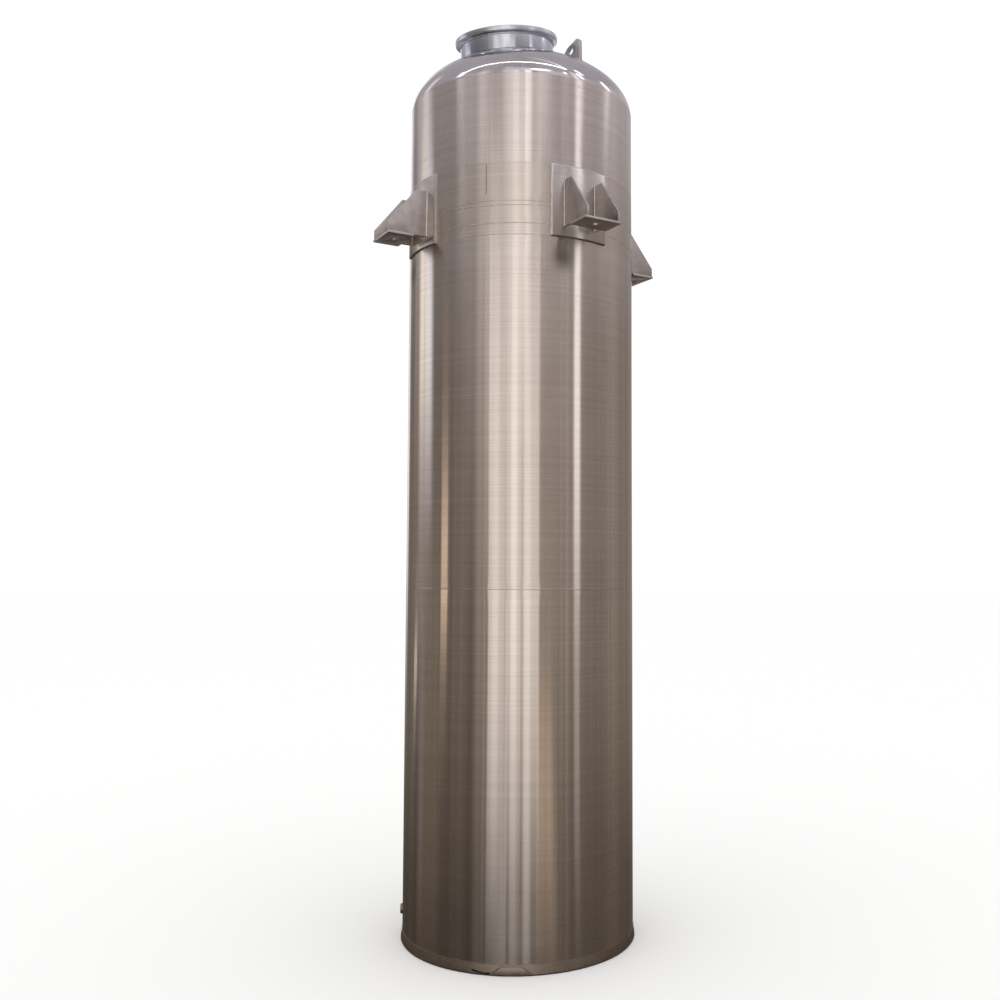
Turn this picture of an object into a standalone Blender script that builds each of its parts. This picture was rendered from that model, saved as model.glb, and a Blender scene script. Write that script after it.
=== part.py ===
"""Vertical storage tank of stainless steel, with bracket supports and a leaning manway neck.

Metres, +Z up. The origin is on the shell's axis, at the level that the tank stands on.
Azimuths are in degrees, 0 towards -Y (the front) and 90 towards +X.
"""
import math

import bmesh
import bpy
from mathutils import Matrix, Vector

# Fit and smoothness
GAP = 0.0003  # left between pieces that are welded together
SEGMENTS = 72  # sides of a full turn
NECK_SEGMENTS = 60
PIPE_SEGMENTS = 24
HOLE_SEGMENTS = 16

# Shell, from the floor up
SHELL_RADIUS = 0.500
UPPER_RADIUS = 0.498  # the shell narrows by the plate's tolerance across the bracket belt
WALL = 0.006
RING_TOP = 0.042
LOWER_SEAM = 1.500
BELT_BOTTOM = 2.940
BELT_TOP = 3.240
HEAD_SEAM = 3.618

# Base ring
RING_INNER = 0.478
RING_LIP = 0.507
RING_SHOULDER = 0.501
RING_EASE = 0.004  # bevel at the ring's lower edges
JOINT_AZIMUTH = -2.0
JOINT_BOTTOM = 0.008
JOINT_TOP = 0.035
JOINT_LOWER_WIDTH = 0.162
JOINT_UPPER_WIDTH = 0.084
JOINT_THICKNESS = 0.003
JOINT_COLUMNS = 12

# Earthing boss, low on the left side
BOSS_AZIMUTH = -87.5
BOSS_HEIGHT = 0.110
BOSS_RADIUS = 0.021
BOSS_DEPTH = 0.010

# Heads: 2:1 ellipsoids, each on a short straight flange
HEAD_RATIO = 0.5
HEAD_STEPS = 12
BOTTOM_TANGENT = 0.400
BOTTOM_FLANGE = 0.040

# Manway neck, set square to the head's slope
NECK_OFFSET = 0.187
NECK_AZIMUTH = -20.0
NECK_RADIUS = 0.204
NECK_WALL = 0.006
NECK_INSIDE = 0.056  # how far the tube runs in past the head's surface on its axis
NECK_LENGTH = 0.039
FLANGE_RADIUS = 0.224
FLANGE_THICKNESS = 0.020
FLANGE_EASE = 0.002

# Lifting lugs on the head, along the radius
LIFT_AZIMUTH = 42.5
LIFT_OUTER = 0.382
LIFT_LENGTH = 0.095
LIFT_TOP = 3.878
LIFT_THICKNESS = 0.016
LIFT_ROUNDING = 0.022  # radius of the outer top corner
LIFT_DROP = 0.022  # how far the top edge falls towards the axis
LIFT_INNER_CUT = 0.020
LIFT_HOLE_RADIUS = 0.016
LIFT_HOLE_INSET = 0.057
LIFT_HOLE_DEPTH = 0.043
LIFT_STEPS = 4

# Bracket supports at quarter turns
BRACKET_AZIMUTHS = {"front_right": 30.0, "back_right": 120.0, "back_left": 210.0, "front_left": 300.0}
PAD_TURN = 30.0  # degrees of the shell that a pad covers
PAD_THICKNESS = 0.008
PAD_BOTTOM = 2.942
PAD_TOP = 3.238
RIB_SPACING = 0.148
RIB_THICKNESS = 0.008
RIB_HEIGHT = 0.195
RIB_FLAT = 0.048  # level stretch at a rib's top
RIB_LIP = 0.038  # upright stretch at a rib's outer end
BRACKET_REACH = 0.676
FOOT_WIDTH = 0.172
FOOT_DEPTH = 0.114
FOOT_THICKNESS = 0.010
FOOT_UNDERSIDE = 2.972
FOOT_HOLE_RADIUS = 0.014
FOOT_HOLE_OFFSET = 0.619

# Outlet under the bottom head
PIPE_RADIUS = 0.0255
PIPE_WALL = 0.003
PIPE_BOTTOM = 0.066
FERRULE_RADIUS = 0.032
FERRULE_THICKNESS = 0.006
PIPE_STANDS_IN = 0.004  # how far the outlet rises above the bottom head's inside

# Colours of the finished surfaces
BRUSHED = (0.42, 0.38, 0.35)
BELT_GREY = (0.50, 0.45, 0.41)
POLISHED = (0.62, 0.60, 0.62)
DARK_PLATE = (0.33, 0.30, 0.29)


def clear_scene():
    for item in list(bpy.data.objects):
        bpy.data.objects.remove(item)


def steel(name, colour, roughness):
    material = bpy.data.materials.new(name)
    material.use_nodes = True
    shader = material.node_tree.nodes["Principled BSDF"]
    shader.inputs["Base Color"].default_value = (*colour, 1.0)
    shader.inputs["Metallic"].default_value = 1.0
    shader.inputs["Roughness"].default_value = roughness
    return material


def direction(azimuth):
    """Unit vector away from the axis, level with the ground."""
    turn = math.radians(azimuth)
    return Vector((math.sin(turn), -math.cos(turn), 0.0))


def radial_frame(azimuth):
    """Local X away from the axis and local Z up, so local Y runs round the shell."""
    out = direction(azimuth)
    return Matrix.Rotation(math.atan2(out.y, out.x), 4, "Z")


def make(name, bm, colour, roughness, matrix=None):
    bmesh.ops.recalc_face_normals(bm, faces=bm.faces)
    mesh = bpy.data.meshes.new(name)
    bm.to_mesh(mesh)
    bm.free()
    mesh.shade_smooth()
    mesh.set_sharp_from_angle(angle=math.radians(30))
    item = bpy.data.objects.new(name, mesh)
    item.data.materials.append(steel(name + "_steel", colour, roughness))
    if matrix is not None:
        item.matrix_world = matrix
    bpy.context.collection.objects.link(item)
    return item


def turned(profile, segments, closed=True):
    """Spins a profile of (radius, height) points about the Z axis."""
    bm = bmesh.new()
    points = [bm.verts.new((radius, 0.0, height)) for radius, height in profile]
    pairs = list(zip(points, points[1:]))
    if closed:
        pairs.append((points[-1], points[0]))
    edges = [bm.edges.new(pair) for pair in pairs]
    bmesh.ops.spin(bm, geom=points + edges, cent=(0, 0, 0), axis=(0, 0, 1), dvec=(0, 0, 0),
                   angle=math.tau, steps=segments, use_merge=True)
    bmesh.ops.remove_doubles(bm, verts=bm.verts, dist=1e-5)
    return bm


def extruded(outline, thickness):
    """A plate whose outline is in local XZ, centred on local Y."""
    bm = bmesh.new()
    face = bm.faces.new([bm.verts.new((x, -thickness / 2, z)) for x, z in outline])
    grown = bmesh.ops.extrude_face_region(bm, geom=[face])
    moved = [item for item in grown["geom"] if isinstance(item, bmesh.types.BMVert)]
    bmesh.ops.translate(bm, verts=moved, vec=(0, thickness, 0))
    return bm


def cylinder(radius, low, high, segments):
    """A closed cylinder along local Z."""
    bm = bmesh.new()
    shift = Matrix.Translation((0, 0, (low + high) / 2))
    bmesh.ops.create_cone(bm, cap_ends=True, segments=segments, radius1=radius, radius2=radius,
                          depth=high - low, matrix=shift)
    return bm


def cut(item, tool, matrix):
    """Takes the tool's shape, placed by matrix, out of the item."""
    mesh = bpy.data.meshes.new(item.name + "_cutter")
    tool.to_mesh(mesh)
    tool.free()
    cutter = bpy.data.objects.new(item.name + "_cutter", mesh)
    cutter.matrix_world = matrix
    cutter.hide_render = True
    cutter.display_type = "WIRE"
    bpy.context.collection.objects.link(cutter)
    boolean = item.modifiers.new("hole", "BOOLEAN")
    boolean.operation = "DIFFERENCE"
    boolean.solver = "EXACT"
    boolean.object = cutter


def shell_radius(height):
    """Outside radius of the shell, which narrows across the bracket belt."""
    share = (height - BELT_BOTTOM) / (BELT_TOP - BELT_BOTTOM)
    share = min(1.0, max(0.0, share))
    return SHELL_RADIUS + (UPPER_RADIUS - SHELL_RADIUS) * share


def course(name, low, high, colour):
    low_out = shell_radius(low)
    high_out = shell_radius(high)
    profile = [(low_out, low), (high_out, high), (high_out - WALL, high), (low_out - WALL, low)]
    return make(name, turned(profile, SEGMENTS), colour, 0.28)


def base_ring():
    profile = [
        (RING_SHOULDER, RING_TOP),
        (RING_LIP, RING_EASE),
        (RING_LIP - RING_EASE, 0.0),
        (RING_INNER + RING_EASE, 0.0),
        (RING_INNER, RING_EASE),
        (RING_INNER, RING_TOP),
    ]
    return make("base_ring", turned(profile, SEGMENTS), BRUSHED, 0.35)


def curved_plate(name, azimuth, levels, thickness, columns, colour, roughness):
    """A plate rolled to the shell. Each level is (height, inside radius, half width in degrees)."""
    bm = bmesh.new()
    layers = []
    for height, radius, half in levels:
        rows = []
        for distance in (radius, radius + thickness):
            turns = [azimuth - half + 2 * half * column / columns for column in range(columns + 1)]
            places = [direction(turn) * distance + Vector((0, 0, height)) for turn in turns]
            rows.append([bm.verts.new(place) for place in places])
        layers.append(rows)
    (low_in, low_out), (high_in, high_out) = layers
    for column in range(columns):
        after = column + 1
        bm.faces.new((low_in[column], low_in[after], high_in[after], high_in[column]))
        bm.faces.new((low_out[column], high_out[column], high_out[after], low_out[after]))
        bm.faces.new((low_in[column], low_out[column], low_out[after], low_in[after]))
        bm.faces.new((high_in[column], high_in[after], high_out[after], high_out[column]))
    for end in (0, columns):
        bm.faces.new((low_in[end], high_in[end], high_out[end], low_out[end]))
    return make(name, bm, colour, roughness)


def ring_joint_plate():
    def half_turn(width):
        return math.degrees(width / 2 / RING_LIP)

    levels = [
        (JOINT_BOTTOM, RING_LIP + GAP, half_turn(JOINT_LOWER_WIDTH)),
        (JOINT_TOP, ring_face(JOINT_TOP) + GAP, half_turn(JOINT_UPPER_WIDTH)),
    ]
    name = "ring_joint_plate"
    return curved_plate(name, JOINT_AZIMUTH, levels, JOINT_THICKNESS, JOINT_COLUMNS, BRUSHED, 0.4)


def ring_face(height):
    """Outside radius of the base ring's leaning face."""
    share = (height - RING_EASE) / (RING_TOP - RING_EASE)
    return RING_LIP + (RING_SHOULDER - RING_LIP) * share


def ground_boss():
    along = direction(BOSS_AZIMUTH)
    base = along * (SHELL_RADIUS + GAP) + Vector((0, 0, BOSS_HEIGHT))
    matrix = Matrix.Translation(base) @ along.to_track_quat("Z", "Y").to_matrix().to_4x4()
    return make("ground_boss", cylinder(BOSS_RADIUS, 0.0, BOSS_DEPTH, PIPE_SEGMENTS), BRUSHED, 0.35, matrix)


def head_rise(radius, distance):
    """Height of an ellipsoidal head of this radius above its tangent line, at a distance from the axis."""
    return HEAD_RATIO * radius * math.sqrt(max(0.0, 1 - (distance / radius) ** 2))


def head_arc(radius, rise, stop):
    """Points of an ellipse from the tangent line inwards, as far as the distance stop from the axis."""
    last = math.acos(stop / radius)
    angles = [last * step / HEAD_STEPS for step in range(HEAD_STEPS + 1)]
    return [(radius * math.cos(angle), rise * math.sin(angle)) for angle in angles]


def neck_frame():
    """Local Z leaves the top head square to its surface, at the middle of the neck."""
    rise = head_rise(UPPER_RADIUS, NECK_OFFSET)
    out = direction(NECK_AZIMUTH)
    centre = out * NECK_OFFSET + Vector((0, 0, HEAD_SEAM + rise))
    slope = Vector((0, 0, rise / HEAD_RATIO ** 2)) + out * NECK_OFFSET
    return Matrix.Translation(centre) @ slope.to_track_quat("Z", "Y").to_matrix().to_4x4()


def top_head():
    """A dished head. Its profile runs from the crown down the inside, and back up the outside."""
    rise = HEAD_RATIO * UPPER_RADIUS
    inside = head_arc(UPPER_RADIUS - WALL, rise - WALL, 0.0)
    outside = head_arc(UPPER_RADIUS, rise, 0.0)
    profile = [(radius, HEAD_SEAM + GAP + height) for radius, height in inside[::-1] + outside]
    head = make("top_head", turned(profile, SEGMENTS, closed=False), POLISHED, 0.12)
    tool = cylinder(NECK_RADIUS + GAP, -NECK_INSIDE, NECK_LENGTH, NECK_SEGMENTS)
    cut(head, tool, neck_frame())
    return head


def neck():
    inner = NECK_RADIUS - NECK_WALL
    low = -NECK_INSIDE
    high = NECK_LENGTH
    tube = [(NECK_RADIUS, low), (NECK_RADIUS, high), (inner, high), (inner, low)]
    make("neck", turned(tube, NECK_SEGMENTS), POLISHED, 0.15, neck_frame())
    low = NECK_LENGTH + GAP
    high = low + FLANGE_THICKNESS
    rim = [
        (inner, low),
        (FLANGE_RADIUS - FLANGE_EASE, low),
        (FLANGE_RADIUS, low + FLANGE_EASE),
        (FLANGE_RADIUS, high - FLANGE_EASE),
        (FLANGE_RADIUS - FLANGE_EASE, high),
        (inner, high),
    ]
    make("neck_flange", turned(rim, NECK_SEGMENTS), POLISHED, 0.2, neck_frame())


def lifting_lug_outline():
    """Points of (distance from the axis, height), out along the head's curve and back over the top."""
    inner = LIFT_OUTER - LIFT_LENGTH
    base = HEAD_SEAM + 2 * GAP
    outline = []
    for step in range(LIFT_STEPS + 1):
        distance = inner + LIFT_LENGTH * step / LIFT_STEPS
        outline.append((distance, base + head_rise(UPPER_RADIUS, distance)))
    for step in range(LIFT_STEPS + 1):
        turn = math.pi / 2 * step / LIFT_STEPS
        across = LIFT_OUTER - LIFT_ROUNDING * (1 - math.cos(turn))
        outline.append((across, LIFT_TOP - LIFT_ROUNDING * (1 - math.sin(turn))))
    outline.append((inner + LIFT_INNER_CUT, LIFT_TOP - LIFT_DROP))
    outline.append((inner, LIFT_TOP - LIFT_DROP - LIFT_INNER_CUT))
    return outline


def lifting_lug(name, azimuth):
    """An upright eye plate whose foot follows the head's curve."""
    plate = extruded(lifting_lug_outline(), LIFT_THICKNESS)
    lug = make(name, plate, DARK_PLATE, 0.3, radial_frame(azimuth))
    tool = cylinder(LIFT_HOLE_RADIUS, -LIFT_THICKNESS, LIFT_THICKNESS, HOLE_SEGMENTS)
    place = Vector((LIFT_OUTER - LIFT_HOLE_INSET, 0.0, LIFT_TOP - LIFT_HOLE_DEPTH))
    across = Matrix.Translation(place) @ Matrix.Rotation(math.radians(90), 4, "X")
    cut(lug, tool, radial_frame(azimuth) @ across)
    return lug


def bracket_pad(name, azimuth):
    half = PAD_TURN / 2
    columns = round(PAD_TURN * SEGMENTS / 360)
    levels = [(height, shell_radius(height) + GAP, half) for height in (PAD_BOTTOM, PAD_TOP)]
    return curved_plate(name, azimuth, levels, PAD_THICKNESS, columns, BELT_GREY, 0.35)


def pad_face(height, sideways):
    """Distance of a pad's outside from the axis, along the bracket, at a place beside its middle."""
    radius = shell_radius(height) + GAP + PAD_THICKNESS
    return math.sqrt(radius ** 2 - sideways ** 2)


def bracket_rib(name, azimuth, side):
    sideways = side * RIB_SPACING / 2
    near_side = (RIB_SPACING - RIB_THICKNESS) / 2
    low = FOOT_UNDERSIDE + FOOT_THICKNESS + GAP
    high = low + RIB_HEIGHT
    root_low = pad_face(low, near_side) + GAP
    root_high = pad_face(high, near_side) + GAP
    outline = [
        (root_low, low),
        (BRACKET_REACH, low),
        (BRACKET_REACH, low + RIB_LIP),
        (root_high + RIB_FLAT, high),
        (root_high, high),
    ]
    matrix = radial_frame(azimuth) @ Matrix.Translation((0, sideways, 0))
    return make(name, extruded(outline, RIB_THICKNESS), BELT_GREY, 0.35, matrix)


def bracket_foot(name, azimuth):
    inner = BRACKET_REACH - FOOT_DEPTH
    top = FOOT_UNDERSIDE + FOOT_THICKNESS
    outline = [(inner, FOOT_UNDERSIDE), (BRACKET_REACH, FOOT_UNDERSIDE), (BRACKET_REACH, top), (inner, top)]
    foot = make(name, extruded(outline, FOOT_WIDTH), DARK_PLATE, 0.4, radial_frame(azimuth))
    tool = cylinder(FOOT_HOLE_RADIUS, FOOT_UNDERSIDE - FOOT_THICKNESS, top + FOOT_THICKNESS, HOLE_SEGMENTS)
    cut(foot, tool, radial_frame(azimuth) @ Matrix.Translation((FOOT_HOLE_OFFSET, 0, 0)))
    return foot


def bracket(place, azimuth):
    """One support: a rolled pad, two ribs and a foot plate that rests on the platform's beams."""
    bracket_pad(f"{place}_bracket_pad", azimuth)
    bracket_rib(f"{place}_bracket_left_rib", azimuth, -1)
    bracket_rib(f"{place}_bracket_right_rib", azimuth, 1)
    bracket_foot(f"{place}_bracket_foot", azimuth)


def bottom_head():
    """A dished head inside the shell, opening upwards, with a hole for the outlet."""
    outer_radius = SHELL_RADIUS - WALL - GAP
    rise = HEAD_RATIO * outer_radius
    hole = PIPE_RADIUS + GAP
    outside = head_arc(outer_radius, rise, hole)
    inside = head_arc(outer_radius - WALL, rise - WALL, hole)
    profile = [(outer_radius, BOTTOM_TANGENT + BOTTOM_FLANGE)]
    profile += [(radius, BOTTOM_TANGENT - height) for radius, height in outside]
    profile += [(radius, BOTTOM_TANGENT - height) for radius, height in reversed(inside)]
    profile += [(outer_radius - WALL, BOTTOM_TANGENT + BOTTOM_FLANGE)]
    return make("bottom_head", turned(profile, SEGMENTS), BRUSHED, 0.3)


def outlet():
    head_inside = BOTTOM_TANGENT - HEAD_RATIO * (SHELL_RADIUS - WALL) + WALL
    top = head_inside + PIPE_STANDS_IN
    bore = PIPE_RADIUS - PIPE_WALL
    pipe = [(PIPE_RADIUS, PIPE_BOTTOM), (PIPE_RADIUS, top), (bore, top), (bore, PIPE_BOTTOM)]
    make("outlet_pipe", turned(pipe, PIPE_SEGMENTS), BRUSHED, 0.3)
    high = PIPE_BOTTOM - GAP
    low = high - FERRULE_THICKNESS
    rim = [(FERRULE_RADIUS, low), (FERRULE_RADIUS, high), (bore, high), (bore, low)]
    make("outlet_ferrule", turned(rim, PIPE_SEGMENTS), POLISHED, 0.25)


def build():
    clear_scene()
    base_ring()
    ring_joint_plate()
    ground_boss()
    course("lower_shell_course", RING_TOP + GAP, LOWER_SEAM, BRUSHED)
    course("middle_shell_course", LOWER_SEAM + GAP, BELT_BOTTOM, BRUSHED)
    course("lug_belt", BELT_BOTTOM + GAP, BELT_TOP, BELT_GREY)
    course("upper_shell_course", BELT_TOP + GAP, HEAD_SEAM, BRUSHED)
    top_head()
    neck()
    lifting_lug("lifting_lug_right", LIFT_AZIMUTH)
    lifting_lug("lifting_lug_left", LIFT_AZIMUTH - 180.0)
    for place, azimuth in BRACKET_AZIMUTHS.items():
        bracket(place, azimuth)
    bottom_head()
    outlet()


build()
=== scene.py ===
"""Looks of the vertical storage tank: brushed and polished stainless steel, its welds, and a plain studio.

Metres, +Z up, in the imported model's frame. Azimuths are in degrees, 0 towards -Y (the front)
and 90 towards +X.
"""
import math

import bmesh
import bpy
from mathutils import Matrix, Vector, noise


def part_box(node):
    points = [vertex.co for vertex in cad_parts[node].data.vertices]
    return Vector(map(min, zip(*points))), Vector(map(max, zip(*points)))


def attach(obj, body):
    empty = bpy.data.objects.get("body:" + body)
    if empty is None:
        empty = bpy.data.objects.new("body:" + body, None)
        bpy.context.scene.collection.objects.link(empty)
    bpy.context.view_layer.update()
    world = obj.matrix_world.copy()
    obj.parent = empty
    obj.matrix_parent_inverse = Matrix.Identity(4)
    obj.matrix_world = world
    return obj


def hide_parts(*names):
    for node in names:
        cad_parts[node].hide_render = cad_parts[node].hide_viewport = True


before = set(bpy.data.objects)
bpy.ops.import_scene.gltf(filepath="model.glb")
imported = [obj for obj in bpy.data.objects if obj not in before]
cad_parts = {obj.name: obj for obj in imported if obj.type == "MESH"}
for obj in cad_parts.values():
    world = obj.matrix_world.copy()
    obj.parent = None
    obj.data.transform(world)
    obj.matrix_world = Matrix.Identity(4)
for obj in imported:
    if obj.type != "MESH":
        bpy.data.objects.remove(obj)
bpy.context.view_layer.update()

UP = Vector((0, 0, 1))
LOW, HIGH = 0, 1


def low_of(node):
    """Height of a CAD node's lowest point."""
    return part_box(node)[LOW].z


def top_of(node):
    """Height of a CAD node's highest point."""
    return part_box(node)[HIGH].z


# Sizes read from the frame
SHELL_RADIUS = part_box("lower_shell_course")[HIGH].x
UPPER_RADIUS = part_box("upper_shell_course")[HIGH].x
RING_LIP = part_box("base_ring")[HIGH].x
RING_TOP = top_of("base_ring")
LOWER_SEAM = top_of("lower_shell_course")
BELT_BOTTOM = low_of("lug_belt")
BELT_TOP = top_of("lug_belt")
HEAD_SEAM = top_of("upper_shell_course")
PAD_BOTTOM = low_of("front_right_bracket_pad")
PAD_TOP = top_of("front_right_bracket_pad")
FOOT_UNDERSIDE = low_of("front_right_bracket_foot")
FOOT_TOP = top_of("front_right_bracket_foot")
RIB_TOP = top_of("front_right_bracket_left_rib")
PIPE_TOP = top_of("outlet_pipe")
PIPE_BOTTOM = low_of("outlet_pipe")
PIPE_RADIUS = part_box("outlet_pipe")[HIGH].x
FERRULE_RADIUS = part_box("outlet_ferrule")[HIGH].x
FERRULE_BOTTOM = low_of("outlet_ferrule")
BOTTOM_HEAD_TOP = top_of("bottom_head")

# Sizes that the boxes don't give, as in the model's source
WALL = 0.006
RING_INNER = 0.478
RING_SHOULDER = 0.501
RING_TOE = 0.005  # height of the ring's widest point
RING_EASE = 0.004  # how far its underside steps in
JOINT_AZIMUTH = -2.0
JOINT_LOWER_WIDTH = 0.162
JOINT_UPPER_WIDTH = 0.084
JOINT_THICKNESS = 0.003
BOSS_AZIMUTH = -87.5
BOSS_HEIGHT = 0.110
BOSS_RADIUS = 0.021
BOSS_DEPTH = 0.010
BOSS_BORE = 0.005
HEAD_RATIO = 0.5
TOP_RISE = HEAD_RATIO * UPPER_RADIUS
BOTTOM_TANGENT = 0.400
NECK_OFFSET = 0.187
NECK_AZIMUTH = -20.0
NECK_RADIUS = 0.204
NECK_INSIDE = 0.056
NECK_LENGTH = 0.039
FLANGE_RADIUS = 0.224
FLANGE_THICKNESS = 0.020
FLANGE_CONE = 0.006
FLANGE_RIM = 0.006  # width of the raised rim round its seat
FLANGE_RIM_FOOT = 0.007
FLANGE_SEAT_DEPTH = 0.0015
LIFT_AZIMUTH = 42.5
LIFT_OUTER = 0.382
LIFT_LENGTH = 0.095
LIFT_TOP = 3.878
LIFT_THICKNESS = 0.016
LIFT_ROUNDING = 0.022
LIFT_DROP = 0.022
LIFT_INNER_CUT = 0.020
LIFT_HOLE_RADIUS = 0.016
LIFT_HOLE_INSET = 0.057
LIFT_HOLE_DEPTH = 0.043
BRACKET_AZIMUTHS = {"front_right": 30.0, "back_right": 120.0, "back_left": 210.0, "front_left": 300.0}
PAD_TURN = 30.0
PAD_THICKNESS = 0.008
RIB_SPACING = 0.148
RIB_THICKNESS = 0.008
RIB_FLAT = 0.048
RIB_LIP = 0.038
BRACKET_REACH = 0.676
FOOT_WIDTH = 0.172
FOOT_DEPTH = 0.114
FOOT_HOLE_RADIUS = 0.014
FOOT_HOLE_OFFSET = 0.619
PIPE_WALL = 0.003
FERRULE_LIP = 0.003
FERRULE_SHOULDER = 0.001
GAP = 0.0003  # between neighbouring solids

# Fineness of the meshes
SHELL_SEGMENTS = 288
SHELL_ROW = 0.012  # height of a row of faces on a rolled sheet
SEAM_SEGMENTS = 360
HEAD_ROWS = 72
NECK_SEGMENTS = 192
NECK_WELD_SEGMENTS = 240
BOTTOM_SEGMENTS = 192
BOTTOM_STEPS = 48
PIPE_SEGMENTS = 64
OUTLET_WELD_STEP = 6.0  # degrees
BOSS_SEGMENTS = 48
BOSS_WELD_SEGMENTS = 40
HOLE_SEGMENTS = 48
PATCH_COLUMNS = 24
PATCH_WELD_STEPS = 10  # to each side of its middle
PAD_COLUMNS = 40
PAD_WELD_STEPS = 24
STUDIO_SEGMENTS = 96

# Roundings of edges
EDGE = 0.0012
THIN_EDGE = 0.0006
DISH_EDGE = 0.0005
FERRULE_EDGE = 0.0008
PAD_EDGE = 0.0015
BOSS_EDGE = 0.002
FLANGE_EDGE = 0.003
RIM_ANGLE = math.radians(60)  # a plate's edges sharper than this are rounded
FLAT_ANGLE = math.radians(150)  # an outline's corners flatter than this stay as they are
SMOOTH_ANGLE = math.radians(40)  # edges sharper than this are shaded crisp

# Unevenness of the rolled sheets
SHEET_SWAY = 0.0005  # how far a rolled sheet swings off its true round
SWAY_ROUND, SWAY_UP = 1.3, 0.9  # how fast the swing changes round the sheet and up it
WELD_PULL = 0.0006  # how far a weld pulls the sheet in or out beside it
PULL_ROUND, PULL_SEED = 5, 9
WELD_REACH = 0.035
PULL_LEAST = 0.01  # a smaller share of the pull is left out

# Places of the seams and joints
GROUND_LINES = (3.081, 3.062, 2.988)  # welds across the belt, ground flush
BELT_JOINT = (3.109, 3.235)  # the short upright joint on the belt
BELT_JOINT_AZIMUTH = -16.0
SHEET_JOINTS = (
    ("lower_sheet_joint", 168.0, RING_TOP + 0.004, LOWER_SEAM - 0.003),
    ("middle_sheet_joint", -165.0, LOWER_SEAM + 0.003, BELT_BOTTOM - 0.003),
    ("upper_sheet_joint", 152.0, BELT_TOP + 0.003, HEAD_SEAM - 0.003),
)
# The open lap beside the joint patch, its darkness painted shadow: azimuths and heights along it
RING_TEAR = ((-20.4, 0.018), (-18.4, 0.013), (-16.0, 0.009), (-13.5, 0.008), (-11.5, 0.009))
TEAR_SINK = 0.0006
RING_WELD_OUT = 0.0005
PATCH_WELD_SINK = 0.0004
PAD_WELD_LIFT = 0.002
PAD_WELD_TURN = 0.15  # degrees beyond each side of a pad
RIB_WELD_INSET = 0.004
WELD_OFFSET = 0.001  # how far a weld's middle stands off the edge that it joins

# Radii of the welds
SEAM_BEAD = 0.002
SHEET_JOINT_BEAD = 0.0022
BELT_JOINT_BEAD = 0.0016
RING_BEAD = 0.0016
PATCH_EDGE_BEAD = 0.0018
PATCH_UPPER_BEAD = 0.0012
TEAR_BEAD = 0.0045
BOSS_BEAD = 0.0022
NECK_BEAD = 0.0032
FLANGE_BEAD = 0.004
LUG_BEAD = 0.004
PAD_BEAD = 0.0035
PAD_LOWER_BEAD = 0.0031
RIB_BEAD = 0.0028
OUTLET_BEAD = 0.003
SEAM_SQUASH = 0.2  # what is left of the depth of a seam dressed nearly flush
JOINT_SQUASH = 0.3
BEAD_RIPPLE = 0.006  # length of one ripple along a weld
BEAD_POINTS = 3  # to a ripple
BEAD_UNEVEN = 0.25
BEAD_UNEVEN_SCALE = 60

# Painted shade below each pad
PAD_SHADE_ACROSS = (-9.5, 5.0, 4.0)  # middle, half width and blur, in degrees from the pad's middle
PAD_SHADE_DEPTH = 0.17
PAD_SHADE_LEVEL = 0.38

# Finish of the steel
BRUSHING_TURN = 0.25  # of a full turn, draws the highlights across the level brushing
LINE_STRETCH = (1.6, 1.6, 420)
BAND_STRETCH = (1.0, 1.0, 42)
SMEAR_STRETCH = (1.0, 1.0, 0.6)
LINE_SHARE, BAND_SHARE, SMEAR_SHARE = 0.55, 0.15, 0.30
EVEN = (1, 1, 1)
WHEEL_STRETCH = (3, 3, 120)
WHEEL_BUMP = 0.000008
PLATE_BUMP = 0.00004
WELD_BUMP = 0.00006
SHELL_DARK = (0.57, 0.52, 0.48)
SHELL_LIGHT = (0.65, 0.60, 0.56)

# Camera, from the photograph's perspective
CAMERA_PLACE = Vector((0.0764, -4.7173, 1.5983))
CAMERA_PITCH = 0.06144
CAMERA_YAW = 0.02721
CAMERA_ROLL = 0.00197
FOCAL_LENGTH = 1.05525  # in image widths
CROP_SHIFT = -0.0659  # the photograph is a crop off its optical axis, in image widths
SENSOR = 36.0


def make_camera():
    """The photograph's camera."""
    level = Vector((math.sin(CAMERA_YAW), math.cos(CAMERA_YAW), 0))
    forward = level * math.cos(CAMERA_PITCH) + UP * math.sin(CAMERA_PITCH)
    flat_right = forward.cross(UP).normalized()
    flat_up = flat_right.cross(forward)
    right = flat_right * math.cos(CAMERA_ROLL) + flat_up * math.sin(CAMERA_ROLL)
    up = flat_up * math.cos(CAMERA_ROLL) - flat_right * math.sin(CAMERA_ROLL)
    data = bpy.data.cameras.new("photo_camera")
    data.sensor_width = SENSOR
    data.lens = SENSOR * FOCAL_LENGTH
    data.shift_x = CROP_SHIFT
    camera = bpy.data.objects.new("photo_camera", data)
    turn = Matrix((right, up, -forward)).transposed().to_4x4()
    camera.matrix_world = Matrix.Translation(CAMERA_PLACE) @ turn
    bpy.context.collection.objects.link(camera)
    bpy.context.scene.camera = camera


# Directions and surfaces

def direction(azimuth):
    """Unit vector away from the axis, level with the ground."""
    turn = math.radians(azimuth)
    return Vector((math.sin(turn), -math.cos(turn), 0))


def at(azimuth, radius, height):
    """The point at an azimuth, a distance from the axis and a height."""
    return direction(azimuth) * radius + UP * height


def radial_frame(azimuth):
    """Local X away from the axis and local Z up, so local Y runs round the shell."""
    out = direction(azimuth)
    return Matrix.Rotation(math.atan2(out.y, out.x), 4, "Z")


def shell_radius(height):
    """Outside radius of the true shell, which changes a little across the belt."""
    share = (height - BELT_BOTTOM) / (BELT_TOP - BELT_BOTTOM)
    share = min(1.0, max(0.0, share))
    return SHELL_RADIUS + (UPPER_RADIUS - SHELL_RADIUS) * share


def head_rise(distance):
    """Height of the top head above its seam, at a distance from the axis."""
    return TOP_RISE * math.sqrt(max(0.0, 1 - (distance / UPPER_RADIUS) ** 2))


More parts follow.
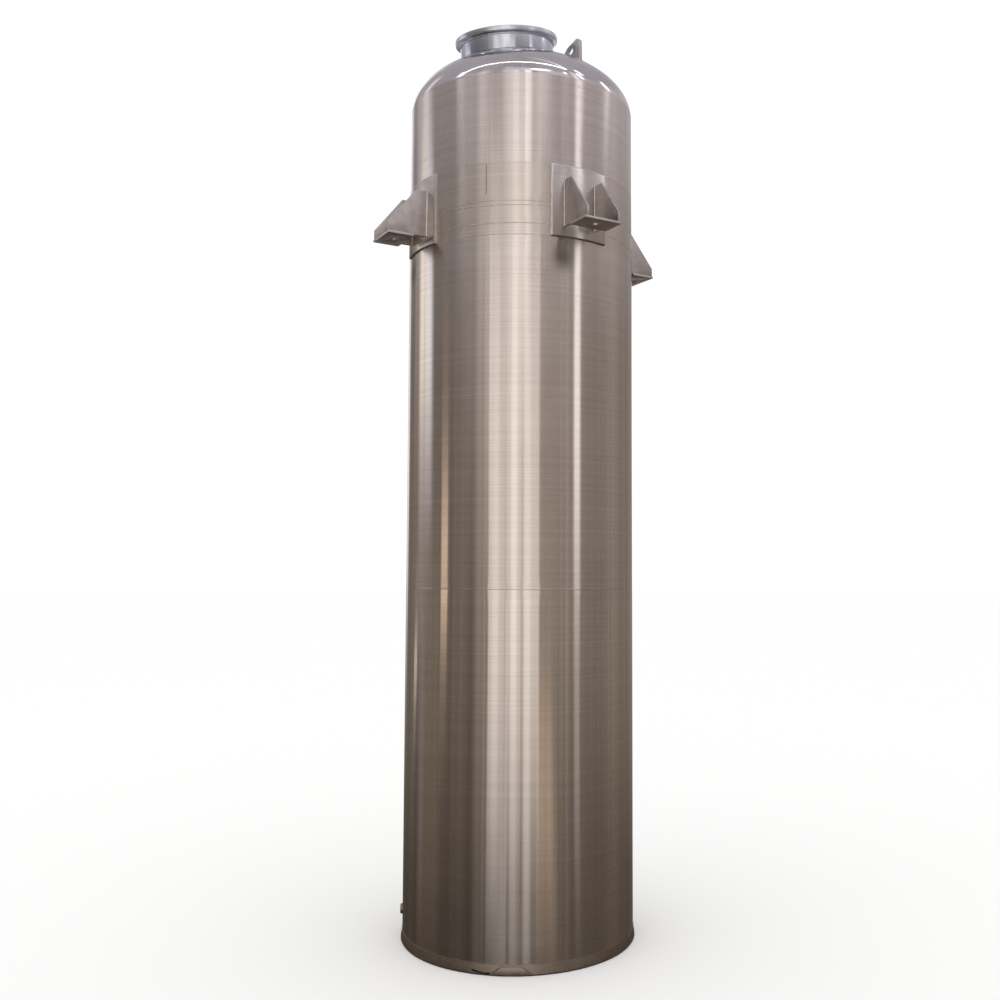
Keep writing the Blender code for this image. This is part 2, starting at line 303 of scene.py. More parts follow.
def neck_frame():
    """Local Z leaves the top head square to its surface, at the middle of the neck."""
    rise = head_rise(NECK_OFFSET)
    out = direction(NECK_AZIMUTH)
    centre = out * NECK_OFFSET + UP * (HEAD_SEAM + GAP + rise)
    slope = UP * rise / HEAD_RATIO ** 2 + out * NECK_OFFSET
    return Matrix.Translation(centre) @ slope.to_track_quat("Z", "Y").to_matrix().to_4x4()


# Meshes

def even_turns(count):
    """Angles that divide a full turn evenly, in radians."""
    return [math.tau * step / count for step in range(count)]


def circle(radius, height, count, matrix=Matrix.Identity(4)):
    """Points evenly spaced round local Z."""
    return [matrix @ Vector((radius * math.cos(t), radius * math.sin(t), height)) for t in even_turns(count)]


def skin(rings, closed=True):
    """A surface through rings of points. Its last ring meets the first one, or else both ends are capped."""
    count = len(rings[0])
    points = [point for ring in rings for point in ring]
    faces = []
    spans = len(rings) if closed else len(rings) - 1
    for number in range(spans):
        base = number * count
        after = (number + 1) % len(rings) * count
        for place in range(count):
            step = (place + 1) % count
            faces.append((base + place, base + step, after + step, after + place))
    if not closed:
        last = len(points) - count
        faces.append(tuple(reversed(range(count))))
        faces.append(tuple(range(last, len(points))))
    bm = bmesh.new()
    verts = [bm.verts.new(point) for point in points]
    for face in faces:
        bm.faces.new([verts[corner] for corner in face])
    return bm


def rounded(outline, radius, steps=4):
    """A closed outline with its sharp corners turned into short curves."""
    smooth = []
    for number, place in enumerate(outline):
        corner = Vector(place)
        back = Vector(outline[number - 1]) - corner
        ahead = Vector(outline[(number + 1) % len(outline)]) - corner
        if back.angle(ahead) > FLAT_ANGLE:
            smooth.append(corner)
            continue
        reach = min(radius, back.length * 0.45, ahead.length * 0.45)
        start = corner + back.normalized() * reach
        end = corner + ahead.normalized() * reach
        for step in range(steps + 1):
            share = step / steps
            smooth.append(start * (1 - share) ** 2 + corner * 2 * share * (1 - share) + end * share ** 2)
    return smooth


def turned(profile, segments, edge=EDGE, matrix=Matrix.Identity(4)):
    """A closed profile of (radius, height) points, with rounded corners, spun about local Z."""
    return skin([circle(radius, height, segments, matrix) for radius, height in rounded(profile, edge)])


def ease_rims(bm, edge):
    """Rounds the sharp edges of a plate."""
    bmesh.ops.recalc_face_normals(bm, faces=bm.faces)
    rims = [item for item in bm.edges if item.calc_face_angle(0) > RIM_ANGLE]
    bmesh.ops.bevel(bm, geom=rims, offset=edge, segments=2, affect="EDGES", profile=0.5)


def plate(outline, thickness, matrix, hole=None):
    """A flat plate in local XZ, centred on local Y, with perhaps one hole (x, z, radius)."""
    bm = bmesh.new()
    loops = [outline]
    if hole:
        across, height, radius = hole
        turns = even_turns(HOLE_SEGMENTS)
        loops.append([(across + radius * math.cos(t), height + radius * math.sin(t)) for t in turns])
    edges = []
    for loop in loops:
        verts = [bm.verts.new((x, -thickness / 2, z)) for x, z in loop]
        edges += [bm.edges.new((verts[number - 1], verts[number])) for number in range(len(verts))]
    bmesh.ops.triangle_fill(bm, edges=edges, use_beauty=True)
    grown = bmesh.ops.extrude_face_region(bm, geom=bm.faces[:])
    moved = [item for item in grown["geom"] if isinstance(item, bmesh.types.BMVert)]
    bmesh.ops.translate(bm, verts=moved, vec=(0, thickness, 0))
    ease_rims(bm, EDGE)
    bmesh.ops.transform(bm, matrix=matrix, verts=bm.verts)
    return bm


def rolled_plate(azimuth, levels, thickness, columns, edge):
    """A plate rolled to the shell. Each level is (height, inside radius, half width in degrees)."""
    inside = []
    outside = []
    for height, radius, half in levels:
        turns = [azimuth - half + 2 * half * column / columns for column in range(columns + 1)]
        inside.append([at(turn, radius, height) for turn in turns])
        outside.append([at(turn, radius + thickness, height) for turn in turns])
    rings = [near + far[::-1] for near, far in zip(inside, outside)]
    bm = skin(rings, closed=False)
    ease_rims(bm, edge)
    return bm


def resampled(path, spacing, closed):
    """Points evenly spaced along a path of straight runs."""
    corners = [Vector(point) for point in path]
    if closed:
        corners.append(corners[0])
    points = []
    for start, end in zip(corners, corners[1:]):
        steps = max(1, round((end - start).length / spacing))
        points += [start.lerp(end, step / steps) for step in range(steps)]
    if not closed:
        points.append(corners[-1])
    return points


def bead(path, radius, closed=False, squash=1.0, sides=7, ripple=0.14):
    """A weld laid along a path, with the ripples of its freezing. A dressed one is squashed."""
    points = resampled(path, BEAD_RIPPLE / BEAD_POINTS, closed)
    rings = []
    travelled = 0.0
    for number, point in enumerate(points):
        before = points[number - 1] if closed or number else point
        after = points[(number + 1) % len(points)] if closed or number < len(points) - 1 else point
        along = (after - before).normalized()
        side = along.orthogonal() if abs(along.z) > 0.9 else along.cross(UP)
        side.normalize()
        over = along.cross(side)
        travelled += (point - before).length
        wave = ripple * math.sin(math.tau * travelled / BEAD_RIPPLE)
        swell = 1 + wave + BEAD_UNEVEN * noise.noise(point * BEAD_UNEVEN_SCALE)
        if not closed:
            swell *= min(1.0, 0.5 + 0.25 * min(number, len(points) - 1 - number))
        wide = side * squash
        rings.append([point + (wide * math.cos(t) + over * math.sin(t)) * radius * swell
                      for t in even_turns(sides)])
    return skin(rings, closed)


def merged(parts):
    """Several meshes as one, each keeping its own shape."""
    whole = bmesh.new()
    for part in parts:
        mesh = bpy.data.meshes.new("part")
        bmesh.ops.recalc_face_normals(part, faces=part.faces)
        part.to_mesh(mesh)
        part.free()
        whole.from_mesh(mesh)
        bpy.data.meshes.remove(mesh)
    return whole


def new_object(name, bm, material):
    """A mesh object with one material."""
    mesh = bpy.data.meshes.new(name)
    bm.to_mesh(mesh)
    bm.free()
    mesh.materials.append(material)
    item = bpy.data.objects.new(name, mesh)
    bpy.context.collection.objects.link(item)
    return item


def add_piece(name, bm, material, slot, *stands_for):
    """Makes a named piece that rides on the tank, in place of the CAD nodes given."""
    bmesh.ops.recalc_face_normals(bm, faces=bm.faces)
    item = new_object(name, bm, material)
    item.data.shade_smooth()
    item.data.set_sharp_from_angle(angle=SMOOTH_ANGLE)
    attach(item, "root")
    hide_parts(*stands_for)
    return item


# Materials

class Graph:
    """Short calls for building a material's nodes."""

    def __init__(self, tree):
        self.tree = tree

    def add(self, kind, values=(), **settings):
        """A node with its settings, and its inputs set to values or to other nodes' outputs."""
        node = self.tree.nodes.new(kind)
        for key, value in settings.items():
            setattr(node, key, value)
        for key, value in dict(values).items():
            if isinstance(value, bpy.types.NodeSocket):
                self.tree.links.new(value, node.inputs[key])
            else:
                node.inputs[key].default_value = value
        return node

    def math(self, operation, *values):
        """The result of a Math node."""
        return self.add("ShaderNodeMath", dict(enumerate(values)), operation=operation).outputs[0]

    def span(self, value, start, end, low=0.0, high=1.0, smooth=False):
        """The value mapped from start..end to low..high, and held there beyond them."""
        kind = "SMOOTHSTEP" if smooth else "LINEAR"
        values = {"Value": value, "From Min": start, "From Max": end, "To Min": low, "To Max": high}
        return self.add("ShaderNodeMapRange", values, interpolation_type=kind).outputs["Result"]

    def noise(self, place, stretch, scale=1.0, detail=3.0, roughness=0.5):
        """Noise in object space, drawn out along the axes whose stretch is small."""
        mapping = self.add("ShaderNodeMapping", {"Vector": place, "Scale": stretch})
        values = {"Vector": mapping.outputs[0], "Scale": scale, "Detail": detail, "Roughness": roughness}
        return self.add("ShaderNodeTexNoise", values).outputs["Fac"]

    def mix(self, share, first, second):
        """Two colours mixed."""
        values = {"Factor": share, 6: first, 7: second}
        return self.add("ShaderNodeMix", values, data_type="RGBA").outputs[2]

    def scale(self, colour, gain):
        """A colour of light made stronger or weaker."""
        return self.add("ShaderNodeVectorMath", {0: colour, "Scale": gain}, operation="SCALE").outputs[0]


def new_material(name):
    """An empty material and its graph."""
    material = bpy.data.materials.new(name)
    material.use_nodes = True
    material.node_tree.nodes.clear()
    return material, Graph(material.node_tree)


def finish_steel(graph, colour, roughness, height, bump, anisotropy=0.0):
    """The shader of a bare metal surface, with its highlights drawn out across the brushing."""
    normal = graph.add("ShaderNodeBump", {"Height": height, "Distance": bump, "Strength": 1.0})
    values = {"Base Color": colour, "Metallic": 1.0, "Roughness": roughness, "Normal": normal.outputs[0]}
    shader = graph.add("ShaderNodeBsdfPrincipled", values)
    if anisotropy:
        tangent = graph.add("ShaderNodeTangent", direction_type="RADIAL", axis="Z")
        shader.inputs["Anisotropic"].default_value = anisotropy
        shader.inputs["Anisotropic Rotation"].default_value = BRUSHING_TURN
        graph.tree.links.new(tangent.outputs[0], shader.inputs["Tangent"])
    graph.add("ShaderNodeOutputMaterial", {"Surface": shader.outputs[0]})


def azimuth_and_height(graph):
    """The azimuth in degrees and the height of the shaded point, from its place on the tank."""
    place = graph.add("ShaderNodeTexCoord").outputs["Object"]
    x, y, height = graph.add("ShaderNodeSeparateXYZ", {0: place}).outputs
    return graph.math("DEGREES", graph.math("ARCTAN2", x, graph.math("MULTIPLY", y, -1.0))), height


def beside(graph, azimuth, middle, half, blur):
    """One within a stretch of azimuth and nothing outside it, with blurred edges."""
    off = graph.math("ABSOLUTE", graph.math("WRAP", graph.math("SUBTRACT", azimuth, middle), 180.0, -180.0))
    return graph.span(off, half - blur, half + blur, 1.0, 0.0, smooth=True)


def painted_shade_below_pad(graph, smears):
    """Painted shade below the left half of each pad: a dull, patchy darkening of the sheet's colour."""
    azimuth, height = azimuth_and_height(graph)
    from_first = graph.math("SUBTRACT", azimuth, BRACKET_AZIMUTHS["front_right"])
    from_pad = graph.math("WRAP", from_first, 45.0, -45.0)  # the pads stand a quarter turn apart
    wide = beside(graph, from_pad, *PAD_SHADE_ACROSS)
    darkest = PAD_BOTTOM - PAD_SHADE_DEPTH / 2
    below = graph.span(height, PAD_BOTTOM - PAD_SHADE_DEPTH, darkest, smooth=True)
    above = graph.span(height, darkest, PAD_BOTTOM, 1.0, 0.3, smooth=True)
    patchy = graph.span(smears, 0.34, 0.54)
    return graph.math("MULTIPLY", graph.math("MULTIPLY", wide, patchy), graph.math("MULTIPLY", below, above))


def brushed_steel(name, dark, light, roughness, line_contrast=0.10, anisotropy=1.0, bump=0.00002):
    """Sheet brushed round the tank: fine level lines, broader bands, faint smears of handling, and painted
    shade below the pads.
    """
    material, graph = new_material(name)
    place = graph.add("ShaderNodeTexCoord").outputs["Object"]
    lines = graph.noise(place, LINE_STRETCH, detail=4.0, roughness=0.6)
    bands = graph.noise(place, BAND_STRETCH, detail=3.0)
    smears = graph.noise(place, SMEAR_STRETCH, scale=3.2, detail=4.0, roughness=0.6)
    tone = graph.math("MULTIPLY", lines, LINE_SHARE)
    tone = graph.math("ADD", tone, graph.math("MULTIPLY", bands, BAND_SHARE))
    tone = graph.math("ADD", tone, graph.math("MULTIPLY", smears, SMEAR_SHARE))
    share = graph.span(tone, 0.5 - line_contrast, 0.5 + line_contrast)
    colour = graph.mix(share, (*dark, 1), (*light, 1))
    # the sheet's colour darkened below each pad: painted shade
    pad_shade_colour = [part * PAD_SHADE_LEVEL for part in dark]
    colour = graph.mix(painted_shade_below_pad(graph, smears), colour, (*pad_shade_colour, 1))
    rough = graph.span(smears, 0.35, 0.65, roughness * 0.92, roughness * 1.12)
    height = graph.math("ADD", lines, graph.math("MULTIPLY", bands, 0.5))
    finish_steel(graph, colour, rough, height, bump, anisotropy)
    return material


def satin_plate(name, dark, light, roughness):
    """Cut plate as it comes from the mill, softly mottled and a little scratched."""
    material, graph = new_material(name)
    place = graph.add("ShaderNodeTexCoord").outputs["Object"]
    mottle = graph.noise(place, EVEN, scale=28, detail=5.0, roughness=0.6)
    grain = graph.noise(place, EVEN, scale=420, detail=3.0)
    colour = graph.mix(graph.span(mottle, 0.3, 0.7), (*dark, 1), (*light, 1))
    rough = graph.span(mottle, 0.3, 0.7, roughness * 0.85, roughness * 1.2)
    finish_steel(graph, colour, rough, grain, PLATE_BUMP)
    return material


def polished_steel(name, dark, light, roughness, waves=0.0002):
    """Buffed steel: near a mirror, with a soft haze, the wheel's last fine marks and the sheet's waves."""
    material, graph = new_material(name)
    place = graph.add("ShaderNodeTexCoord").outputs["Object"]
    haze = graph.noise(place, EVEN, scale=5, detail=4.0, roughness=0.6)
    marks = graph.noise(place, WHEEL_STRETCH, detail=3.0)
    colour = graph.mix(graph.span(haze, 0.3, 0.7), (*dark, 1), (*light, 1))
    rough = graph.span(haze, 0.3, 0.7, roughness * 0.7, roughness * 1.3)
    swell = graph.noise(place, EVEN, scale=13, detail=1.0)
    surface = graph.math("ADD", swell, graph.math("MULTIPLY", marks, WHEEL_BUMP / waves))
    finish_steel(graph, colour, rough, surface, waves)
    return material


def weld_metal(name, dark, light, roughness):
    """Weld metal, darker and a little warmer where it was hot."""
    material, graph = new_material(name)
    place = graph.add("ShaderNodeTexCoord").outputs["Object"]
    heat = graph.noise(place, EVEN, scale=22, detail=3.0)
    grain = graph.noise(place, EVEN, scale=700, detail=2.0)
    colour = graph.mix(graph.span(heat, 0.35, 0.65), (*dark, 1), (*light, 1))
    finish_steel(graph, colour, roughness, grain, WELD_BUMP)
    return material


def make_materials():
    """Every material of the tank, by a short name: darkest and lightest colour, roughness and the rest."""
    return {
        "shell": brushed_steel("brushed_shell", SHELL_DARK, SHELL_LIGHT, 0.175),
        "lower_shell": brushed_steel("brushed_lower_shell", SHELL_DARK, SHELL_LIGHT, 0.145),
        "belt": brushed_steel("ground_belt", (0.55, 0.50, 0.445), (0.64, 0.585, 0.53), 0.21,
                              line_contrast=0.13, bump=0.00004),
        "pad": brushed_steel("pad_plate", (0.52, 0.48, 0.45), (0.64, 0.60, 0.56), 0.24,
                             line_contrast=0.13, anisotropy=0.9, bump=0.00005),
        "ground": satin_plate("ground_line", (0.38, 0.345, 0.305), (0.62, 0.57, 0.52), 0.30),
        "lug": satin_plate("buffed_lug", (0.50, 0.48, 0.48), (0.62, 0.60, 0.60), 0.36),
        "ring": satin_plate("satin_ring", (0.25, 0.215, 0.18), (0.33, 0.285, 0.24), 0.42),
        "head": polished_steel("polished_head", (0.58, 0.55, 0.55), (0.66, 0.63, 0.63), 0.085, waves=0.0012),
        "neck": polished_steel("polished_neck", (0.46, 0.49, 0.56), (0.56, 0.59, 0.66), 0.15),
        "flange": polished_steel("buffed_flange", (0.54, 0.56, 0.62), (0.64, 0.66, 0.72), 0.26),
        "plate": satin_plate("satin_plate", (0.40, 0.365, 0.35), (0.54, 0.50, 0.475), 0.40),
        "foot": satin_plate("dull_foot_plate", (0.50, 0.465, 0.455), (0.61, 0.575, 0.565), 0.45),
        "weld": weld_metal("weld_metal", (0.56, 0.53, 0.49), (0.76, 0.73, 0.70), 0.28),
        # near-black colours for the lap beside the joint patch: painted shadow
        "painted_lap_shadow": weld_metal("painted_lap_shadow", (0.03, 0.025, 0.02), (0.06, 0.05, 0.045), 0.6),
        "dark_weld": weld_metal("dark_weld", (0.14, 0.12, 0.11), (0.28, 0.24, 0.21), 0.45),
        # dark weld colours for each pad's lower edge: painted shade
        "weld_in_painted_shade": weld_metal("weld_in_painted_shade", (0.20, 0.17, 0.155), (0.34, 0.30, 0.27), 0.45),
    }


# Shell and foot ring

def sheet_radius(azimuth, height):
    """Outside radius of a rolled sheet, with its slight swing and the pull of the welds beside it."""
    place = direction(azimuth)
    sample = Vector((place.x * SWAY_ROUND, place.y * SWAY_ROUND, height * SWAY_UP))
    swing = noise.noise(sample) * SHEET_SWAY
    for weld in (LOWER_SEAM, BELT_BOTTOM, BELT_TOP) + GROUND_LINES:
        nearness = math.exp(-((height - weld) / WELD_REACH) ** 2)
        if nearness > PULL_LEAST:
            sample = Vector((place.x * PULL_ROUND, place.y * PULL_ROUND, weld * PULL_SEED))
            swing += noise.noise(sample) * WELD_PULL * nearness
    return shell_radius(height) + swing


def on_sheet(azimuth, height):
    """A point on the outside of a rolled sheet."""
    return at(azimuth, sheet_radius(azimuth, height), height)


def rolled_sheet(name, node, material, slot):
    """One course of the shell, outside and inside, in place of its CAD node."""
    low, high = low_of(node), top_of(node)
    rows = max(4, round((high - low) / SHELL_ROW))
    turns = [360 * step / SHELL_SEGMENTS for step in range(SHELL_SEGMENTS)]
    rings = []
    for row in range(rows + 1):
        height = low + (high - low) * row / rows
        rings.append([on_sheet(turn, height) for turn in turns])
    for height in (high, low):
        rings.append([at(turn, shell_radius(height) - WALL, height) for turn in turns])
    return add_piece(name, skin(rings), material, slot, node)


def level_circle(radius, height, step=1.0):
    """Points round the axis, a step in degrees apart."""
    return [at(turn * step, radius, height) for turn in range(round(360 / step))]


def make_shell(materials):
    """The four courses, from the foot ring up to the head."""
    rolled_sheet("lower_shell_sheet", "lower_shell_course", materials["lower_shell"], "brushed_shell")
    rolled_sheet("middle_shell_sheet", "middle_shell_course", materials["shell"], "brushed_shell")
    rolled_sheet("belt_sheet", "lug_belt", materials["belt"], "ground_belt")
    rolled_sheet("upper_shell_sheet", "upper_shell_course", materials["shell"], "brushed_shell")


def upright(azimuth, low, high, steps=8):
    """Points up the outside of the shell."""
    heights = [low + (high - low) * step / steps for step in range(steps + 1)]
    return [on_sheet(azimuth, height) for height in heights]


def flush_seam(height):
    """A weld right round the shell, dressed nearly flush."""
    ring = [on_sheet(turn, height) for turn in range(SEAM_SEGMENTS)]
    return bead(ring, SEAM_BEAD, closed=True, squash=SEAM_SQUASH, ripple=0.0)


def make_seams(materials):
    """The welds that join the courses, and the upright joint of each rolled sheet."""
    seams = (("lower_seam", LOWER_SEAM), ("belt_lower_seam", BELT_BOTTOM), ("belt_upper_seam", BELT_TOP))
    for name, height in seams:
        add_piece(name, flush_seam(height), materials["pad"], "brushed_shell")
    for number, height in enumerate(GROUND_LINES):
        add_piece(f"ground_line_{number}", flush_seam(height), materials["ground"], "ground_belt")
    for name, azimuth, low, high in SHEET_JOINTS:
        joint = bead(upright(azimuth, low, high), SHEET_JOINT_BEAD, squash=JOINT_SQUASH)
        add_piece(name, joint, materials["weld"], "brushed_shell")
    low, high = BELT_JOINT
    closing = bead(upright(BELT_JOINT_AZIMUTH, low, high), BELT_JOINT_BEAD, squash=JOINT_SQUASH)
    add_piece("belt_joint", closing, materials["dark_weld"], "ground_belt")


def ring_face(height):
    """Outside radius of the foot ring's leaning face."""
    share = (height - RING_TOE) / (RING_TOP - RING_TOE)
    return RING_LIP + (RING_SHOULDER - RING_LIP) * share


def patch_corner(across, height):
    """A point on the outline of the joint patch, a little behind its face."""
    turn = JOINT_AZIMUTH + math.degrees(across / RING_LIP)
    return at(turn, ring_face(height) + GAP + JOINT_THICKNESS - PATCH_WELD_SINK, height)


def make_base(materials):
    """The foot ring with its weld, the patch over its joint and the open lap beside it, the lap drawn as a
    dark bead of painted shadow.
    """
    profile = [
        (RING_SHOULDER, RING_TOP),
        (RING_LIP, RING_TOE),
        (RING_LIP - RING_EASE, 0.0),
        (RING_INNER, 0.0),
        (RING_INNER, RING_TOP),
    ]
    add_piece("foot_ring", turned(profile, SHELL_SEGMENTS), materials["ring"], "foot_ring", "base_ring")
    low, high = low_of("ring_joint_plate"), top_of("ring_joint_plate")
    levels = []
    for height, width in ((low, JOINT_LOWER_WIDTH), (high, JOINT_UPPER_WIDTH)):
        levels.append((height, ring_face(height) + GAP, math.degrees(width / 2 / RING_LIP)))
    patch = rolled_plate(JOINT_AZIMUTH, levels, JOINT_THICKNESS, PATCH_COLUMNS, THIN_EDGE)
    add_piece("ring_joint_patch", patch, materials["ring"], "foot_ring", "ring_joint_plate")
    seam = bead(level_circle(SHELL_RADIUS + RING_WELD_OUT, RING_TOP), RING_BEAD, closed=True)
    add_piece("foot_ring_weld", seam, materials["ring"], "foot_ring")
    for name, side in (("left", -1), ("right", 1)):
        ends = [patch_corner(side * half, height) for half, height in
                ((JOINT_LOWER_WIDTH / 2, low), (JOINT_UPPER_WIDTH / 2, high))]
        edge = bead(ends, PATCH_EDGE_BEAD)
        add_piece(f"ring_joint_{name}_edge", edge, materials["dark_weld"], "foot_ring")
    steps = range(-PATCH_WELD_STEPS, PATCH_WELD_STEPS + 1)
    upper = [patch_corner(step / PATCH_WELD_STEPS * JOINT_UPPER_WIDTH / 2, high) for step in steps]
    add_piece("ring_joint_upper_weld", bead(upper, PATCH_UPPER_BEAD), materials["ring"], "foot_ring")
    # a near-black bead in the lap stands for the shadow inside it: painted shadow
    tear = [at(turn, ring_face(height) - TEAR_SINK, height) for turn, height in RING_TEAR]
    lap = bead(tear, TEAR_BEAD, squash=JOINT_SQUASH)
    add_piece("ring_lap_shadow", lap, materials["painted_lap_shadow"], "foot_ring")


def make_boss(materials):
    """The small round boss low on the left."""
    along = direction(BOSS_AZIMUTH)
    base = at(BOSS_AZIMUTH, SHELL_RADIUS + GAP, BOSS_HEIGHT)
    matrix = Matrix.Translation(base) @ along.to_track_quat("Z", "Y").to_matrix().to_4x4()
    profile = [(BOSS_RADIUS, 0.0), (BOSS_RADIUS, BOSS_DEPTH), (BOSS_BORE, BOSS_DEPTH), (BOSS_BORE, 0.0)]
    boss = turned(profile, BOSS_SEGMENTS, BOSS_EDGE, matrix)
    add_piece("earthing_boss", boss, materials["ring"], "brushed_shell", "ground_boss")
    root = bead(circle(BOSS_RADIUS, 0, BOSS_WELD_SEGMENTS, matrix), BOSS_BEAD, closed=True)
    add_piece("earthing_boss_weld", root, materials["ring"], "brushed_shell")


# Top head, neck and lifting lugs

def head_point(chart, radius, rise):
    """A point of the head from its chart: the crown is its middle, the rim a circle of 90 degrees."""
    spread = chart.length
    out = chart.normalized() if spread else Vector((1, 0))
    return Vector((out.x * math.sin(spread) * radius, out.y * math.sin(spread) * radius,
                   HEAD_SEAM + GAP + math.cos(spread) * rise))


def head_chart(point, radius):
    """The chart place above a point of the head."""
    level = Vector((point.x, point.y))
    return level.normalized() * math.asin(min(1.0, level.length / radius))


def neck_meets_head(turn, tube, radius, rise):
    """Where a line on the neck's tube, at a turn about its axis, comes out of the head."""
    matrix = neck_frame()
    start = matrix @ Vector((tube * math.cos(turn), tube * math.sin(turn), 0))
    along = (matrix.to_3x3() @ UP).normalized()
    scale = Vector((1 / radius, 1 / radius, 1 / rise))
    origin = start - UP * (HEAD_SEAM + GAP)
    a = sum((along[n] * scale[n]) ** 2 for n in range(3))
    b = sum(origin[n] * along[n] * scale[n] ** 2 for n in range(3))
    c = sum((origin[n] * scale[n]) ** 2 for n in range(3)) - 1
    return start + along * ((math.sqrt(b * b - a * c) - b) / a)


def head_rings(radius, rise, rows):
    """Rings from the head's rim in to the neck's hole."""
    rings = []
    centre = head_chart(neck_frame().translation, radius)
    hole = [neck_meets_head(turn, NECK_RADIUS + GAP, radius, rise) for turn in even_turns(SHELL_SEGMENTS)]
    inner = [head_chart(point, radius) for point in hole]
    outer = []
    for place in inner:
        away = (place - centre).normalized()
        reach = -place.dot(away) + math.sqrt(place.dot(away) ** 2 - place.length_squared + (math.pi / 2) ** 2)
        outer.append(place + away * reach)
    for row in range(rows + 1):
        share = row / rows
        rings.append([head_point(far.lerp(near, share), radius, rise) for far, near in zip(outer, inner)])
    return rings


def make_head(materials):
    """The dished top head, cut out for the neck."""
    outside = head_rings(UPPER_RADIUS, TOP_RISE, HEAD_ROWS)
    inside = head_rings(UPPER_RADIUS - WALL, TOP_RISE - WALL, HEAD_ROWS // 2)
    add_piece("head_dish", skin(outside + inside[::-1]), materials["head"], "polished_head", "top_head")


def make_neck(materials):
    """The open manway neck with its flange and their welds."""
    matrix = neck_frame()
    inner = NECK_RADIUS - WALL
    low, high = -NECK_INSIDE, NECK_LENGTH
    profile = [(NECK_RADIUS, low), (NECK_RADIUS, high), (inner, high), (inner, low)]
    tube = turned(profile, NECK_SEGMENTS, EDGE, matrix)
    add_piece("neck_tube", tube, materials["neck"], "polished_neck", "neck")
    low = NECK_LENGTH + GAP
    high = low + FLANGE_THICKNESS - GAP
    seat = high - FLANGE_SEAT_DEPTH
    tube_side = NECK_RADIUS + GAP
    profile = [
        (inner, low),
        (tube_side, low),
        (tube_side, low - FLANGE_CONE),
        (FLANGE_RADIUS, low),
        (FLANGE_RADIUS, high),
        (FLANGE_RADIUS - FLANGE_RIM, high),
        (FLANGE_RADIUS - FLANGE_RIM_FOOT, seat),
        (inner, seat),
    ]
    flange = turned(profile, NECK_SEGMENTS, FLANGE_EDGE, matrix)
    add_piece("flange_ring", flange, materials["flange"], "polished_neck", "neck_flange")
    turns = even_turns(NECK_WELD_SEGMENTS)
    root = [neck_meets_head(turn, NECK_RADIUS + WELD_OFFSET, UPPER_RADIUS, TOP_RISE) for turn in turns]
    add_piece("neck_root_weld", bead(root, NECK_BEAD, closed=True), materials["neck"], "polished_head")
    collar = circle(NECK_RADIUS, NECK_LENGTH - FLANGE_CONE, NECK_WELD_SEGMENTS, matrix)
    add_piece("flange_weld", bead(collar, FLANGE_BEAD, closed=True), materials["flange"], "polished_neck")


def lifting_lug(name, node, azimuth, materials):
    """An upright plate with an eye, standing on the head, and the weld round its foot."""
    inner = LIFT_OUTER - LIFT_LENGTH
    base = HEAD_SEAM + 2 * GAP
    steps = 12
    foot = [(inner + LIFT_LENGTH * step / steps) for step in range(steps + 1)]
    outline = [(distance, base + head_rise(distance)) for distance in foot]
    for step in range(steps + 1):
        turn = math.pi / 2 * step / steps
        across = LIFT_OUTER - LIFT_ROUNDING * (1 - math.cos(turn))
        outline.append((across, LIFT_TOP - LIFT_ROUNDING * (1 - math.sin(turn))))
    outline.append((inner + LIFT_INNER_CUT, LIFT_TOP - LIFT_DROP))
    outline.append((inner, LIFT_TOP - LIFT_DROP - LIFT_INNER_CUT))
    hole = (LIFT_OUTER - LIFT_HOLE_INSET, LIFT_TOP - LIFT_HOLE_DEPTH, LIFT_HOLE_RADIUS)
    shape = plate(outline, LIFT_THICKNESS, radial_frame(azimuth), hole)
    add_piece(f"{name}_plate", shape, materials["lug"], "bracket_plate", node)
    side = LIFT_THICKNESS / 2 + WELD_OFFSET
    near = [radial_frame(azimuth) @ Vector((d, -side, HEAD_SEAM + head_rise(d))) for d in foot]
    far = [radial_frame(azimuth) @ Vector((d, side, HEAD_SEAM + head_rise(d))) for d in foot[::-1]]
    add_piece(f"{name}_weld", bead(near + far, LUG_BEAD, closed=True), materials["weld"], "bracket_plate")


# Bracket supports

def pad_face(height, sideways):
    """Distance of a pad's face from the axis, along a rib that stands off the middle."""
    radius = shell_radius(height) + GAP + PAD_THICKNESS
    return math.sqrt(radius ** 2 - sideways ** 2)


def pad_path(azimuth):
    """Points along the lower and the upper edge of a pad, a little above the shell."""
    half = PAD_TURN / 2 + PAD_WELD_TURN
    turns = [azimuth - half + 2 * half * step / PAD_WELD_STEPS for step in range(PAD_WELD_STEPS + 1)]
    lower_radius = shell_radius(PAD_BOTTOM) + PAD_WELD_LIFT
    upper_radius = shell_radius(PAD_TOP) + PAD_WELD_LIFT
    lower = [at(turn, lower_radius, PAD_BOTTOM - WELD_OFFSET) for turn in turns]
    upper = [at(turn, upper_radius, PAD_TOP + WELD_OFFSET) for turn in turns]
    return lower, upper


def make_pad(place, azimuth, materials):
    """A bracket's curved pad, with its lower weld coloured dark as painted shade under the pad's edge."""
    node = f"{place}_bracket_pad"
    half = PAD_TURN / 2
    levels = [(height, shell_radius(height) + GAP, half) for height in (PAD_BOTTOM, PAD_TOP)]
    shape = rolled_plate(azimuth, levels, PAD_THICKNESS, PAD_COLUMNS, PAD_EDGE)
    add_piece(f"{place}_pad_plate", shape, materials["pad"], "bracket_plate", node)
    lower, upper = pad_path(azimuth)
    over = bead([lower[0]] + upper + [lower[-1]], PAD_BEAD)
    add_piece(f"{place}_pad_weld", over, materials["weld"], "bracket_plate")
    # the weld under the pad is coloured dark: painted shade below the pad's lower edge
    under = bead(lower, PAD_LOWER_BEAD)
    add_piece(f"{place}_pad_lower_weld", under, materials["weld_in_painted_shade"], "bracket_plate")


